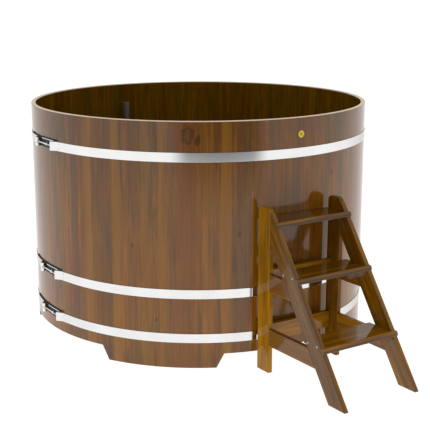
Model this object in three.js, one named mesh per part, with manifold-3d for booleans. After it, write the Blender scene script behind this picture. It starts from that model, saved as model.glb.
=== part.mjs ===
// Round staved plunge tub with three screw-tightened steel hoops, a lift-out overflow
// standpipe and a free-standing step ladder. Millimetres, +Z up, floor at z = 0.
// The ladder stands on the -Y side. Angles are degrees about the tub's axis, measured
// from -Y towards +X. The origin is the bottom centre of the whole set's box.
import * as THREE from 'three';
import { mergeVertices } from 'three/addons/utils/BufferGeometryUtils.js';
import Module from 'manifold-3d';

const wasm = await Module();
wasm.setup();

// Tub wall
const tubRadius = 745;
const tubHeight = 1000;
const wallThickness = 20;
const rimRound = 6;
const staveCount = 48;
const stavesPerPiece = 2;
const facetsPerStave = 2;
const staveGap = 0.3;
const jointGroove = 1.2;

// Feet, left standing when the arches are cut from the lower ends of the staves
const footAngles = [45, 135, 225, 315];
const footTopWidth = 510;
const footBottomWidth = 450;
const archHeight = 59;

// Tub floor, housed in a groove round the inside of the wall
const floorUnderside = 108;
const floorThickness = 36;
const grooveDepth = 8;
const grooveClearance = 0.4;
const floorBoardWidth = 106;
const floorSeam = 2.4;
const bearerOffset = 300;
const bearerWidth = 90;
const bearerDepth = 45;
const bearerEndClearance = 12;

// Hoops. The lowest one runs round the floor's edge.
const topHoopDrop = 140;
const middleHoopRise = 184;
const bandWidth = 37.5;
const bandThickness = 2;
const bandSeat = 0.3;
const buckleAngle = -91;
const buckleGap = 126;
const foldLength = 26;
const tailLength = 34;

// Hoop tensioners
const barrelRadius = 8;
const barrelClearance = 0.3;
const barrelInset = 1;
const boltRadius = 3;
const boltHoleClearance = 0.5;
const boltEndInset = 2;
const hexAcrossFlats = 10;
const nutHeight = 16;
const nutOffset = 21;
const nutThreadClearance = 0.35;
const slotHeight = 9;
const seatGap = 0.3;

// Drain and overflow standpipe
const drainInset = 45;
const drainAngle = 180;
const pipeRadius = 16;
const pipeWall = 2;
const pipeTopDrop = 89;
const pipeSocketClearance = 0.3;
const socketWall = 3;
const socketDepth = 26;
const flangeRadius = 36;
const flangeThickness = 4;
const gasketThickness = 2;
const spigotRadius = 21;
const spigotLength = 40;
const spigotBore = 15;
const drainHoleClearance = 0.5;
const locknutAcrossFlats = 58;
const locknutHeight = 12;

// Badge disc
const badgeDrop = 67;
const badgeRadius = 15.5;
const badgeThickness = 3;
const badgeRound = 1.2;

// Step ladder. Distances from the tub's axis along -Y are called reach.
const ladderOffset = -21;
const ladderWidth = 370;
const boardThickness = 20;
const legWallGap = 5;
const legWidth = 75;
const legRise = 50;
const legTopRound = 20;
const stringerSpread = 464;
const stringerFootWidth = 92;
const stringerTipDrop = 9.6;
const stringerTipRound = 6;
const treadThickness = 20;
const treadTops = { lower: 205, middle: 430, upper: 622 };
const treadOverhangs = { lower: 17.5, middle: 15, upper: 18.4 };
const treadDepths = { lower: 140, middle: 129 };
const upperTreadWallGap = 7;
const treadEar = 32;
const railHeights = { lower: 70, middle: 75 };
const crossRailInset = 47;
const ladderSeam = 0.3;

const roundSides = 24;
const smallSides = 16;
const arcSteps = 3;
const cutterOversize = 1.5;

const staveWood = { color: 0x7a5636, roughness: 0.3, metalness: 0 };
const ladderWood = { color: 0x6e4416, roughness: 0.3, metalness: 0 };
const floorWood = { color: 0x6b4a2c, roughness: 0.45, metalness: 0 };
const polishedSteel = { color: 0xdfe2e4, roughness: 0.22, metalness: 1 };
const boltSteel = { color: 0xb8bdc0, roughness: 0.3, metalness: 1 };
const blackRubber = { color: 0x1d1d1d, roughness: 0.8, metalness: 0 };
const yellowEnamel = { color: 0xe8c51a, roughness: 0.35, metalness: 0 };

const model = new THREE.Group();

const radians = THREE.MathUtils.degToRad;
const innerRadius = tubRadius - wallThickness;
const floorTop = floorUnderside + floorThickness;
const floorMiddle = floorUnderside + floorThickness / 2;
const hoopHeights = {
  top: tubHeight - topHoopDrop,
  middle: floorMiddle + middleHoopRise,
  bottom: floorMiddle,
};
const drainRadius = innerRadius - drainInset;
const facetCount = staveCount * facetsPerStave;
const facetAngle = 360 / facetCount;

// Point at a radius and angle about the tub's axis
function polar(radius, angle) {
  const a = radians(angle);
  return new THREE.Vector2(radius * Math.sin(a), -radius * Math.cos(a));
}

function shapeOf(points) {
  return new THREE.Shape(points);
}

// Straight extrusion of a plan outline, from one height to another
function prism(shape, low, high) {
  const settings = { depth: high - low, bevelEnabled: false, curveSegments: roundSides / 2 };
  return new THREE.ExtrudeGeometry(shape, settings).translate(0, 0, low);
}

// Closed turned solid about Z from a radius and height profile
function turned(profile, sides) {
  return new THREE.LatheGeometry(profile, sides).rotateX(Math.PI / 2);
}

function solidOf(geometry) {
  const bare = geometry.index ? geometry.toNonIndexed() : geometry.clone();
  bare.deleteAttribute('normal');
  bare.deleteAttribute('uv');
  const merged = mergeVertices(bare, 1e-4);
  const corners = merged.index.array;
  const triVerts = [];
  for (let i = 0; i < corners.length; i += 3) {
    const [a, b, c] = [corners[i], corners[i + 1], corners[i + 2]];
    if (a !== b && b !== c && c !== a) {
      triVerts.push(a, b, c);
    }
  }
  return new wasm.Manifold(new wasm.Mesh({
    numProp: 3,
    vertProperties: new Float32Array(merged.attributes.position.array),
    triVerts: new Uint32Array(triVerts),
  }));
}

function geometryOf(solid) {
  const mesh = solid.getMesh();
  const geometry = new THREE.BufferGeometry();
  geometry.setAttribute('position', new THREE.BufferAttribute(mesh.vertProperties, 3));
  geometry.setIndex(new THREE.BufferAttribute(mesh.triVerts, 1));
  geometry.computeVertexNormals();
  return geometry;
}

function add(name, geometry, finish, parent = model) {
  const mesh = new THREE.Mesh(geometry, new THREE.MeshStandardMaterial(finish));
  mesh.name = name;
  parent.add(mesh);
  return mesh;
}

// Points of a quarter round between two directions, in degrees
function arcPoints(x, y, radius, from, to) {
  const points = [];
  for (let i = 0; i <= arcSteps; i += 1) {
    const a = radians(from + ((to - from) * i) / arcSteps);
    points.push(new THREE.Vector2(x + radius * Math.cos(a), y + radius * Math.sin(a)));
  }
  return points;
}

// Wall: a turned ring with a rounded rim and the floor's groove, arched between the
// feet, then split into pieces of two staves with a fine groove along every joint
function wallRing() {
  const grooveLow = floorUnderside - grooveClearance;
  const grooveHigh = floorTop + grooveClearance;
  const rimHeight = tubHeight - rimRound;
  return turned([
    new THREE.Vector2(innerRadius, 0),
    new THREE.Vector2(tubRadius, 0),
    ...arcPoints(tubRadius - rimRound, rimHeight, rimRound, 0, 90),
    ...arcPoints(innerRadius + rimRound, rimHeight, rimRound, 90, 180),
    new THREE.Vector2(innerRadius, grooveHigh),
    new THREE.Vector2(innerRadius + grooveDepth, grooveHigh),
    new THREE.Vector2(innerRadius + grooveDepth, grooveLow),
    new THREE.Vector2(innerRadius, grooveLow),
    new THREE.Vector2(innerRadius, 0),
  ], facetCount);
}

function archCutter() {
  const reach = tubRadius * cutterOversize;
  const block = new THREE.CylinderGeometry(reach, reach, archHeight * 2, smallSides);
  let cutter = solidOf(block.rotateX(Math.PI / 2));
  for (const angle of footAngles) {
    const outline = shapeOf([
      new THREE.Vector2(-footBottomWidth / 2, 0),
      new THREE.Vector2(footBottomWidth / 2, 0),
      new THREE.Vector2(footTopWidth / 2, archHeight),
      new THREE.Vector2(footTopWidth / 2, archHeight * 2),
      new THREE.Vector2(-footTopWidth / 2, archHeight * 2),
      new THREE.Vector2(-footTopWidth / 2, archHeight),
    ]);
    const foot = prism(outline, 0, tubRadius * cutterOversize).rotateX(Math.PI / 2);
    cutter = cutter.subtract(solidOf(foot.rotateZ(radians(angle))));
  }
  return cutter;
}

function jointCutter(angle) {
  const half = jointGroove / 2;
  const low = -archHeight;
  const high = tubHeight + archHeight;
  const cuts = [innerRadius, tubRadius].map((radius) => {
    const diamond = shapeOf([
      new THREE.Vector2(-half, -radius),
      new THREE.Vector2(0, -radius - half),
      new THREE.Vector2(half, -radius),
      new THREE.Vector2(0, -radius + half),
    ]);
    return solidOf(prism(diamond, low, high).rotateZ(radians(angle)));
  });
  return cuts[0].add(cuts[1]);
}

function buildWall() {
  const wall = solidOf(wallRing()).subtract(archCutter());
  const pieceAngle = (360 / staveCount) * stavesPerPiece;
  const halfGap = THREE.MathUtils.radToDeg(staveGap / 2 / tubRadius);
  const pieceCount = staveCount / stavesPerPiece;
  for (let i = 0; i < pieceCount; i += 1) {
    const from = i * pieceAngle + halfGap;
    const to = (i + 1) * pieceAngle - halfGap;
    const wedge = shapeOf([
      polar(innerRadius / cutterOversize, from),
      polar(tubRadius * cutterOversize, from),
      polar(tubRadius * cutterOversize, to),
      polar(innerRadius / cutterOversize, to),
    ]);
    let piece = wall.intersect(solidOf(prism(wedge, -archHeight, tubHeight + archHeight)));
    for (let joint = 0; joint <= stavesPerPiece; joint += 1) {
      piece = piece.subtract(jointCutter((i + joint / stavesPerPiece) * pieceAngle));
    }
    const number = String(i + 1).padStart(2, '0');
    add(`stave_pair_${number}`, geometryOf(piece), staveWood);
  }
}

// Floor: a round panel of boards with a seam between each two, and two bearers below
function buildFloor() {
  const panelRadius = innerRadius + grooveDepth - grooveClearance;
  const disc = new THREE.CylinderGeometry(panelRadius, panelRadius, floorThickness, facetCount);
  let panel = solidOf(disc.rotateX(Math.PI / 2).translate(0, 0, floorMiddle));
  const seams = Math.floor(panelRadius / floorBoardWidth);
  for (let i = -seams; i <= seams; i += 1) {
    const seam = new THREE.BoxGeometry(floorSeam, floorSeam, panelRadius * 2 * cutterOversize);
    seam.rotateZ(Math.PI / 4).rotateX(Math.PI / 2);
    panel = panel.subtract(solidOf(seam.translate((i + 0.5) * floorBoardWidth, 0, floorTop)));
  }
  const hole = spigotRadius + drainHoleClearance;
  const drill = new THREE.CylinderGeometry(hole, hole, floorThickness * cutterOversize, roundSides);
  const at = polar(drainRadius, drainAngle);
  drill.rotateX(Math.PI / 2).translate(at.x, at.y, floorMiddle);
  add('floor_panel', geometryOf(panel.subtract(solidOf(drill))), floorWood);

  const farEdge = bearerOffset + bearerWidth / 2;
  const halfLength = Math.sqrt(innerRadius ** 2 - farEdge ** 2) - bearerEndClearance;
  [-1, 1].forEach((side, i) => {
    const bearer = new THREE.BoxGeometry(halfLength * 2, bearerWidth, bearerDepth);
    const centre = floorUnderside - seatGap - bearerDepth / 2;
    bearer.translate(0, side * bearerOffset, centre);
    add(`floor_bearer_${i + 1}`, bearer, floorWood);
  });
}

// Tensioner geometry shared by a hoop's band, barrels, bolt and nut
const bandInner = tubRadius + bandSeat;
const eyeRadius = barrelRadius + barrelClearance + bandThickness;
const eyeCentreRadius = bandInner + eyeRadius;
const barrelReach = buckleGap / 2 + eyeRadius;
const barrelAngle = THREE.MathUtils.radToDeg(Math.asin(barrelReach / eyeCentreRadius));
const boltAxisRadius = Math.sqrt(eyeCentreRadius ** 2 - barrelReach ** 2);
const degreesAlong = (length) => THREE.MathUtils.radToDeg(length / bandInner);

// Strip that follows the wall between two angles, with the wall's own facets
function arcStrip(inner, outer, from, to) {
  const angles = [from];
  for (let k = Math.ceil(from / facetAngle); k * facetAngle < to; k += 1) {
    if (k * facetAngle > from) {
      angles.push(k * facetAngle);
    }
  }
  angles.push(to);
  const outside = angles.map((angle) => polar(outer, angle));
  const inside = angles.map((angle) => polar(inner, angle)).reverse();
  return shapeOf([...outside, ...inside]);
}

// One folded end: the band turns round its barrel and comes back onto itself
function foldedEnd(angle, side, low, high) {
  const centre = polar(eyeCentreRadius, angle);
  const eye = new THREE.Shape().absarc(centre.x, centre.y, eyeRadius, 0, Math.PI * 2);
  const bore = new THREE.Shape().absarc(centre.x, centre.y, eyeRadius - bandThickness, 0, Math.PI * 2);
  const foldAngle = angle + side * degreesAlong(foldLength);
  const tailAngle = foldAngle + side * degreesAlong(tailLength);
  const outerFace = bandInner + bandThickness;
  const crown = eyeCentreRadius + eyeRadius;
  const slope = shapeOf([
    polar(crown, angle),
    polar(crown - bandThickness, angle),
    polar(outerFace - bandThickness / 2, foldAngle),
    polar(outerFace + bandThickness, foldAngle),
  ]);
  const tailFrom = Math.min(foldAngle, tailAngle);
  const tailTo = Math.max(foldAngle, tailAngle);
  const tail = arcStrip(outerFace - bandThickness / 2, outerFace + bandThickness, tailFrom, tailTo);
  const upright = (shape) => solidOf(prism(shape, low, high));
  return upright(eye).add(upright(slope)).subtract(upright(bore)).add(upright(tail));
}

function hexagon(acrossFlats, hole) {
  const corner = acrossFlats / 2 / Math.cos(Math.PI / 6);
  const points = [];
  for (let i = 0; i < 6; i += 1) {
    const a = (i * Math.PI) / 3;
    points.push(new THREE.Vector2(corner * Math.cos(a), corner * Math.sin(a)));
  }
  const shape = shapeOf(points);
  if (hole) {
    shape.holes.push(new THREE.Path().absarc(0, 0, hole, 0, Math.PI * 2, true));
  }
  return shape;
}

// Turns a solid made along +Z to lie along the bolt, then sets it at its place
function alongBolt(geometry, height) {
  geometry.rotateY(Math.PI / 2).translate(0, -boltAxisRadius, height);
  return geometry.rotateZ(radians(buckleAngle));
}

function buildHoop(label, height) {
  const low = height - bandWidth / 2;
  const high = height + bandWidth / 2;
  const startAngle = buckleAngle + barrelAngle;
  const endAngle = buckleAngle + 360 - barrelAngle;
  const strip = arcStrip(bandInner, bandInner + bandThickness, startAngle, endAngle);
  let band = solidOf(prism(strip, low, high));
  band = band.add(foldedEnd(startAngle, 1, low, high)).add(foldedEnd(endAngle, -1, low, high));
  const slotOutline = arcStrip(
    bandInner + bandThickness + seatGap,
    eyeCentreRadius + slotHeight / 2,
    buckleAngle - barrelAngle,
    buckleAngle + barrelAngle,
  );
  const slot = prism(slotOutline, height - slotHeight / 2, height + slotHeight / 2);
  band = band.subtract(solidOf(slot));
  add(`hoop_${label}`, geometryOf(band), polishedSteel);

  const hole = boltRadius + boltHoleClearance;
  const crossHole = new THREE.CylinderGeometry(hole, hole, barrelRadius * 2 * cutterOversize, smallSides);
  const drill = solidOf(crossHole.rotateZ(Math.PI / 2).translate(0, -boltAxisRadius, height));
  const barrelHeight = bandWidth - barrelInset * 2;
  [['head', -1], ['nut', 1]].forEach(([end, side]) => {
    const rod = new THREE.CylinderGeometry(barrelRadius, barrelRadius, barrelHeight, smallSides);
    rod.rotateX(Math.PI / 2).translate(side * barrelReach, -boltAxisRadius, height);
    const barrel = solidOf(rod).subtract(drill.translate([side * barrelReach, 0, 0]));
    const geometry = geometryOf(barrel).rotateZ(radians(buckleAngle));
    add(`hoop_${label}_${end}_barrel`, geometry, boltSteel);
  });

  const boltLength = (barrelReach + barrelRadius - boltEndInset) * 2;
  const bolt = new THREE.CylinderGeometry(boltRadius, boltRadius, boltLength, smallSides);
  add(`hoop_${label}_bolt`, alongBolt(bolt.rotateX(Math.PI / 2), height), boltSteel);

  const nutShape = hexagon(hexAcrossFlats, boltRadius + nutThreadClearance);
  const nut = prism(nutShape, nutOffset - nutHeight / 2, nutOffset + nutHeight / 2);
  add(`hoop_${label}_nut`, alongBolt(nut, height), boltSteel);
}

// Drain: flanged socket through the floor, its gasket and locknut, and the standpipe
function buildDrain() {
  const at = polar(drainRadius, drainAngle);
  const place = (geometry) => geometry.translate(at.x, at.y, 0);
  const flangeLow = floorTop + gasketThickness + seatGap * 2;
  const ledge = flangeLow + flangeThickness;
  const socketTop = ledge + socketDepth;
  const socketBore = pipeRadius + pipeSocketClearance;
  const spigotEnd = floorUnderside - spigotLength;
  add('drain_body', place(turned([
    new THREE.Vector2(spigotBore, spigotEnd),
    new THREE.Vector2(spigotRadius, spigotEnd),
    new THREE.Vector2(spigotRadius, flangeLow),
    new THREE.Vector2(flangeRadius, flangeLow),
    new THREE.Vector2(flangeRadius, ledge),
    new THREE.Vector2(socketBore + socketWall, ledge),
    new THREE.Vector2(socketBore + socketWall, socketTop),
    new THREE.Vector2(socketBore, socketTop),
    new THREE.Vector2(socketBore, ledge),
    new THREE.Vector2(spigotBore - pipeWall, ledge),
    new THREE.Vector2(spigotBore - pipeWall, flangeLow),
    new THREE.Vector2(spigotBore, flangeLow),
    new THREE.Vector2(spigotBore, spigotEnd),
  ], roundSides)), boltSteel);

  const gasketLow = floorTop + seatGap;
  const gasketBore = spigotRadius + drainHoleClearance;
  add('drain_gasket', place(turned([
    new THREE.Vector2(gasketBore, gasketLow),
    new THREE.Vector2(flangeRadius, gasketLow),
    new THREE.Vector2(flangeRadius, gasketLow + gasketThickness),
    new THREE.Vector2(gasketBore, gasketLow + gasketThickness),
    new THREE.Vector2(gasketBore, gasketLow),
  ], roundSides)), blackRubber);

  const locknut = hexagon(locknutAcrossFlats, spigotRadius + drainHoleClearance);
  const locknutTop = floorUnderside - seatGap;
  add('drain_locknut', place(prism(locknut, locknutTop - locknutHeight, locknutTop)), boltSteel);

  const pipeLow = ledge + seatGap;
  const pipeTop = tubHeight - pipeTopDrop;
  const pipeBore = pipeRadius - pipeWall;
  add('standpipe', place(turned([
    new THREE.Vector2(pipeBore, pipeLow),
    new THREE.Vector2(pipeRadius, pipeLow),
    new THREE.Vector2(pipeRadius, pipeTop),
    new THREE.Vector2(pipeBore, pipeTop),
    new THREE.Vector2(pipeBore, pipeLow),
  ], roundSides)), polishedSteel);
}

// Plain round badge above the ladder
function buildBadge() {
  const disc = turned([
    new THREE.Vector2(0, 0),
    new THREE.Vector2(badgeRadius, 0),
    ...arcPoints(badgeRadius - badgeRound, badgeThickness - badgeRound, badgeRound, 0, 90),
    new THREE.Vector2(0, badgeThickness),
  ], roundSides);
  disc.rotateX(Math.PI / 2).translate(0, -tubRadius - seatGap, tubHeight - badgeDrop);
  add('badge_disc', disc, yellowEnamel);
}

// Ladder boards are drawn in side view, reach across and height up, and are extruded
// across the ladder's width
function sideBoard(outline, left, right) {
  const board = prism(shapeOf(outline), left, right);
  const basis = new THREE.Matrix4().makeBasis(
    new THREE.Vector3(0, -1, 0),
    new THREE.Vector3(0, 0, 1),
    new THREE.Vector3(-1, 0, 0),
  );
  return board.applyMatrix4(basis);
}

const legBackReach = tubRadius + legWallGap;
const legFrontReach = legBackReach + legWidth;
const legHeight = treadTops.upper + legRise;
const stringerFootReach = legFrontReach + stringerSpread;
const stringerTip = legHeight - stringerTipDrop;
const stringerLean = (stringerSpread - ladderSeam) / stringerTip;
const leanFactor = Math.sqrt(1 + stringerLean ** 2);
const stringerFront = (height) => stringerFootReach - stringerLean * height;
const stringerBack = (height) => stringerFront(height) - stringerFootWidth;

function stringerOutline(clearance) {
  const spread = clearance * leanFactor;
  const butt = legFrontReach + ladderSeam - clearance;
  const shoulderHeight = stringerTip - stringerFootWidth / stringerLean;
  const tipTop = stringerTip - stringerTipRound;
  return [
    new THREE.Vector2(stringerFront(0) + spread, 0),
    new THREE.Vector2(stringerFront(tipTop - stringerTipRound) + spread, tipTop - stringerTipRound),
    new THREE.Vector2(stringerFront(tipTop) + spread - stringerTipRound / 4, tipTop),
    new THREE.Vector2(butt, tipTop),
    new THREE.Vector2(butt, shoulderHeight),
    new THREE.Vector2(stringerBack(0) - spread, 0),
  ];
}

function legOutline() {
  const roundTop = legHeight - legTopRound;
  return [
    new THREE.Vector2(legBackReach, 0),
    new THREE.Vector2(legFrontReach, 0),
    ...arcPoints(legFrontReach - legTopRound, roundTop, legTopRound, 0, 90),
    ...arcPoints(legBackReach + legTopRound, roundTop, legTopRound, 90, 180),
  ];
}

function railOutline(low, high) {
  const backEdge = (height) => stringerBack(height) - ladderSeam * leanFactor;
  return [
    new THREE.Vector2(legFrontReach + ladderSeam, low),
    new THREE.Vector2(backEdge(low), low),
    new THREE.Vector2(backEdge(high), high),
    new THREE.Vector2(legFrontReach + ladderSeam, high),
  ];
}

function treadOutline(top, back, nose) {
  const round = treadThickness / 2;
  const middle = top - round;
  return [
    new THREE.Vector2(back, top - treadThickness),
    ...arcPoints(nose - round, middle, round, -90, 0),
    ...arcPoints(nose - round, middle, round, 0, 90).slice(1),
    new THREE.Vector2(back, top),
  ];
}

function buildLadder() {
  const ladder = new THREE.Group();
  ladder.position.x = ladderOffset;
  const outer = ladderWidth / 2;
  const inner = outer - boardThickness;
  const sides = [['left', -outer, -inner], ['right', inner, outer]];
  const clearances = sides.map(([, from, to]) => solidOf(
    sideBoard(stringerOutline(ladderSeam), -to - ladderSeam, -from + ladderSeam),
  ));

  for (const [name, top] of Object.entries(treadTops)) {
    const nose = stringerFront(top) + treadOverhangs[name];
    const back = name in treadDepths ? nose - treadDepths[name] : tubRadius + upperTreadWallGap;
    const outline = treadOutline(top, back, nose);
    const plank = solidOf(sideBoard(outline, -inner + ladderSeam, inner - ladderSeam));
    let noseBar = solidOf(sideBoard(treadOutline(top, nose - treadEar, nose), -outer, outer));
    for (const clearance of clearances) {
      noseBar = noseBar.subtract(clearance);
    }
    const [front] = noseBar.decompose().sort((a, b) => b.volume() - a.volume());
    add(`ladder_tread_${name}`, geometryOf(plank.add(front)), ladderWood, ladder);
  }

  // A cross rail between the legs closes the frame at the height of the side rails
  for (const [level, height] of Object.entries(railHeights)) {
    const high = treadTops[level] - treadThickness - ladderSeam;
    const front = legFrontReach - crossRailInset;
    const crossRail = sideBoard([
      new THREE.Vector2(front - boardThickness, high - height),
      new THREE.Vector2(front, high - height),
      new THREE.Vector2(front, high),
      new THREE.Vector2(front - boardThickness, high),
    ], -inner + ladderSeam, inner - ladderSeam);
    add(`ladder_cross_rail_${level}`, crossRail, ladderWood, ladder);
  }

  for (const [side, from, to] of sides) {
    add(`ladder_leg_${side}`, sideBoard(legOutline(), -to, -from), ladderWood, ladder);
    add(`ladder_stringer_${side}`, sideBoard(stringerOutline(0), -to, -from), ladderWood, ladder);
    for (const [level, height] of Object.entries(railHeights)) {
      const high = treadTops[level] - treadThickness - ladderSeam;
      const rail = sideBoard(railOutline(high - height, high), -to, -from);
      add(`ladder_rail_${level}_${side}`, rail, ladderWood, ladder);
    }
  }
  model.add(ladder);
}

buildWall();
buildFloor();
for (const [label, height] of Object.entries(hoopHeights)) {
  buildHoop(label, height);
}
buildDrain();
buildBadge();
buildLadder();

// The origin goes to the bottom centre of the box round the tub and its ladder
const box = new THREE.Box3().setFromObject(model, true);
const middle = box.getCenter(new THREE.Vector3());
model.position.set(-middle.x, -middle.y, -box.min.z);

export default model;
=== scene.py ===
import math

import bmesh
import bpy
from mathutils import Matrix, Vector


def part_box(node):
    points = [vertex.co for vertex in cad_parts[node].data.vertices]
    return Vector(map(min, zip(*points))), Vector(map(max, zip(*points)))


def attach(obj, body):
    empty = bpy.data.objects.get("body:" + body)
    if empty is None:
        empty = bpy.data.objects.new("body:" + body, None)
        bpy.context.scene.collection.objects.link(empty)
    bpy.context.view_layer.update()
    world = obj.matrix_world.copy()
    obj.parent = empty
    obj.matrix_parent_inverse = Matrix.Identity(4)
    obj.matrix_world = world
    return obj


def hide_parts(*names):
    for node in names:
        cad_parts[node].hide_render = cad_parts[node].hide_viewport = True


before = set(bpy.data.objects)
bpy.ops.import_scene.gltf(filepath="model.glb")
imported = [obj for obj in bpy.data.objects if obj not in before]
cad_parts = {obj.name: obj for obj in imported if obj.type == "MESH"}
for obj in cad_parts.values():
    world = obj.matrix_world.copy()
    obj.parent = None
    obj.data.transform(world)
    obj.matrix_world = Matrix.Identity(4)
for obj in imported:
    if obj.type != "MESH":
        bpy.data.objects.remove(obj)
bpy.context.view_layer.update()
scene = bpy.context.scene
scene.view_settings.view_transform = "Standard"
print("frame loaded,", len(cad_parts), "nodes")

# the tub's axis stands in the middle of its round floor
floorLow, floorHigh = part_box("floor_panel")
tubAxis = Vector(((floorLow.x + floorHigh.x) / 2, (floorLow.y + floorHigh.y) / 2, 0))
tubRadius = 0.745  # to the outside of the staves
upward = Vector((0, 0, 1))
near, weld, fineWeld = 1e-5, 1e-6, 1e-7  # points closer than these count as one


def aroundTub(radius, degrees, height=0.0):  # degrees from the ladder's side towards +X
    a = math.radians(degrees)
    return tubAxis + Vector((radius * math.sin(a), -radius * math.cos(a), height))


# helpers for shader nodes: a value is a socket to link or a constant to set
noiseSpan = (0.3, 0.7)  # most of a noise's values lie between these


def addNode(tree, kind, **settings):
    made = tree.nodes.new("ShaderNode" + kind)
    for key, value in settings.items():
        setattr(made, key, value)
    return made


def feed(node, values):  # by the sockets' names or numbers
    for key, value in values.items():
        if isinstance(value, bpy.types.NodeSocket):
            node.id_data.links.new(value, node.inputs[key])
        else:
            node.inputs[key].default_value = value
    return node.outputs


def calc(tree, operation, *values):
    return feed(addNode(tree, "Math", operation=operation), dict(enumerate(values)))[0]


def product(tree, total, *factors):
    for factor in factors:
        total = calc(tree, "MULTIPLY", total, factor)
    return total


def vectorCalc(tree, operation, *values):
    made = feed(addNode(tree, "VectorMath", operation=operation), dict(enumerate(values)))
    return made["Value" if operation in ("LENGTH", "DOT_PRODUCT") else "Vector"]


def scaled(tree, vector, factor):
    made = addNode(tree, "VectorMath", operation="SCALE")
    return feed(made, {0: vector, "Scale": factor})["Vector"]


def partsOf(tree, vector):
    return feed(addNode(tree, "SeparateXYZ"), {0: vector})[:]


def remap(tree, value, low, high, toLow=0.0, toHigh=1.0, smooth=False):
    made = addNode(tree, "MapRange", interpolation_type="SMOOTHSTEP" if smooth else "LINEAR")
    return feed(made, dict(enumerate((value, low, high, toLow, toHigh))))[0]


def blendColour(tree, factor, first, second, mode="MIX"):
    made = addNode(tree, "Mix", data_type="RGBA", blend_type=mode)
    return feed(made, {0: factor, 6: first, 7: second})[2]  # the node's colour sockets


def colourRamp(tree, factor, stops):
    made = addNode(tree, "ValToRGB")
    band = made.color_ramp
    while len(band.elements) < len(stops):
        band.elements.new(0.5)
    for element, (place, colour) in zip(band.elements, stops):
        element.position = place
        element.color = (*colour, 1)
    return feed(made, {0: factor})[0]


def noiseOf(tree, place, scales, detail=3.0, roughness=0.6, twist=0.0):
    spread = vectorCalc(tree, "MULTIPLY", place, scales)
    return feed(addNode(tree, "TexNoise"), {
        "Vector": spread, "Scale": 1.0, "Detail": detail, "Roughness": roughness,
        "Distortion": twist})["Fac"]


def newGroup(name, inputs, outputs):
    tree = bpy.data.node_groups.new(name, "ShaderNodeTree")
    for label, kind in inputs:
        tree.interface.new_socket(name=label, in_out="INPUT", socket_type="NodeSocket" + kind)
    for label in outputs:
        tree.interface.new_socket(name=label, in_out="OUTPUT", socket_type="NodeSocketFloat")
    return tree, tree.nodes.new("NodeGroupInput").outputs, tree.nodes.new("NodeGroupOutput")


def placeGroup(tree, group, **values):
    return feed(addNode(tree, "Group", node_tree=group), values)


def attributeOf(tree, name):
    return addNode(tree, "Attribute", attribute_name=name).outputs["Vector"]


def objectPlace(tree):
    return addNode(tree, "TexCoord").outputs["Object"]


def newMaterial(name):
    made = bpy.data.materials.new(name)
    made.use_nodes = True
    return made, made.node_tree, made.node_tree.nodes["Principled BSDF"]


def bumpOf(tree, height, strength, distance):
    made = addNode(tree, "Bump")
    return feed(made, {"Strength": strength, "Distance": distance, "Height": height})[0]


def raggedEdge(tree, spot, look):
    waver = noiseOf(tree, spot, look["raggedScales"])
    return remap(tree, waver, *noiseSpan, -look["ragged"], look["ragged"])


# grain of a board: X across it, Y through it, Z along it, in metres
grainLook = {
    "seedShift": (7.31, 3.17, 11.9),
    # scales, detail, roughness, twist, and the span that is stretched to 0 and 1
    "layers": {"Streak": ((38, 38, 3.0), 3, 0.55, 0.5, noiseSpan),
               "Drift": ((17, 17, 1.9), 2, 0.5, 0.7, noiseSpan),
               "Fibre": ((170, 170, 6.0), 4, 0.6, 0.2, (0.28, 0.72)),
               "Pore": ((760, 760, 17), 2, 0.5, 0.0, (0.56, 0.74))},
}
grain, grainIn, grainOut = newGroup(
    "boardGrain", [("Place", "Vector"), ("Seed", "Float")], grainLook["layers"])
shift = scaled(grain, grainLook["seedShift"], grainIn["Seed"])
ownPlace = vectorCalc(grain, "ADD", grainIn["Place"], shift)
for label, (scales, detail, roughness, twist, span) in grainLook["layers"].items():
    layer = noiseOf(grain, ownPlace, scales, detail, roughness, twist)
    feed(grainOut, {label: remap(grain, layer, *span)})

# a knot, longer along the board than across it
knotLook = {"stretch": (1, 0.25, 0.55), "raggedScales": (60, 60, 22), "ragged": 0.5,
            "Core": (1.0, 0.6), "Halo": (1.5, 0.95)}
knot, knotIn, knotOut = newGroup(
    "boardKnot", [("Spot", "Vector"), ("Centre", "Vector"), ("Size", "Float")], ["Core", "Halo"])
away = vectorCalc(knot, "SUBTRACT", knotIn["Spot"], knotIn["Centre"])
away = vectorCalc(knot, "LENGTH", vectorCalc(knot, "MULTIPLY", away, knotLook["stretch"]))
away = calc(knot, "DIVIDE", away, knotIn["Size"])
away = calc(knot, "ADD", away, raggedEdge(knot, knotIn["Spot"], knotLook))
for label in ("Core", "Halo"):
    feed(knotOut, {label: remap(knot, away, *knotLook[label], 0, 1, True)})

# an upright band of another tone, ragged along its edges
bandLook = {"raggedScales": (30, 30, 2.2), "ragged": 0.16, "Mask": (0.62, 0.38)}
band, bandIn, bandOut = newGroup(
    "toneBand", [("Spot", "Vector"), ("Middle", "Float"), ("Width", "Float")], ["Mask"])
along = partsOf(band, bandIn["Spot"])[0]
away = calc(band, "ABSOLUTE", calc(band, "SUBTRACT", along, bandIn["Middle"]))
away = calc(band, "DIVIDE", away, bandIn["Width"])
away = calc(band, "ADD", away, raggedEdge(band, bandIn["Spot"], bandLook))
feed(bandOut, {"Mask": remap(band, away, *bandLook["Mask"], 0, 1, True)})
print("shader groups ready")

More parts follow.
